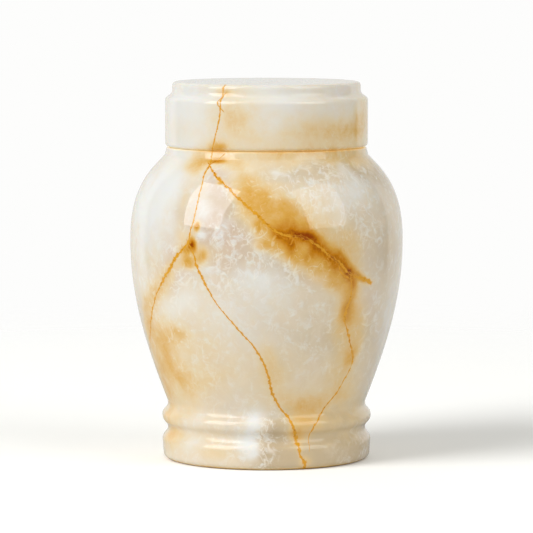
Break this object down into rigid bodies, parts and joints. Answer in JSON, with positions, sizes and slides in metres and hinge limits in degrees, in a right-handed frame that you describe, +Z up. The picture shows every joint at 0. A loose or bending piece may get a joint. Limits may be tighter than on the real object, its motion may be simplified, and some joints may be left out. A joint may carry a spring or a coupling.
{
  "type": "cremation urn",
  "caption": "Turned stone cremation urn: a hollow, round-bellied vessel on a ringed base, closed by a straight-sided cap lid that lifts off.",
  "frame": {"origin": "middle of the underside, at the level of whatever the urn stands on", "axes": "+Z up along the turning axis; the side shown in the picture faces -Y, with +X to its right"},
  "size_m": [0.188, 0.188, 0.26],
  "materials": {
    "vessel_onyx": "polished",
    "lid_onyx": "polished"
  },
  "bodies": {
    "root": {"urn_body": "vessel_onyx", "urn_lid": "lid_onyx"}
  },
  "joints": []
}
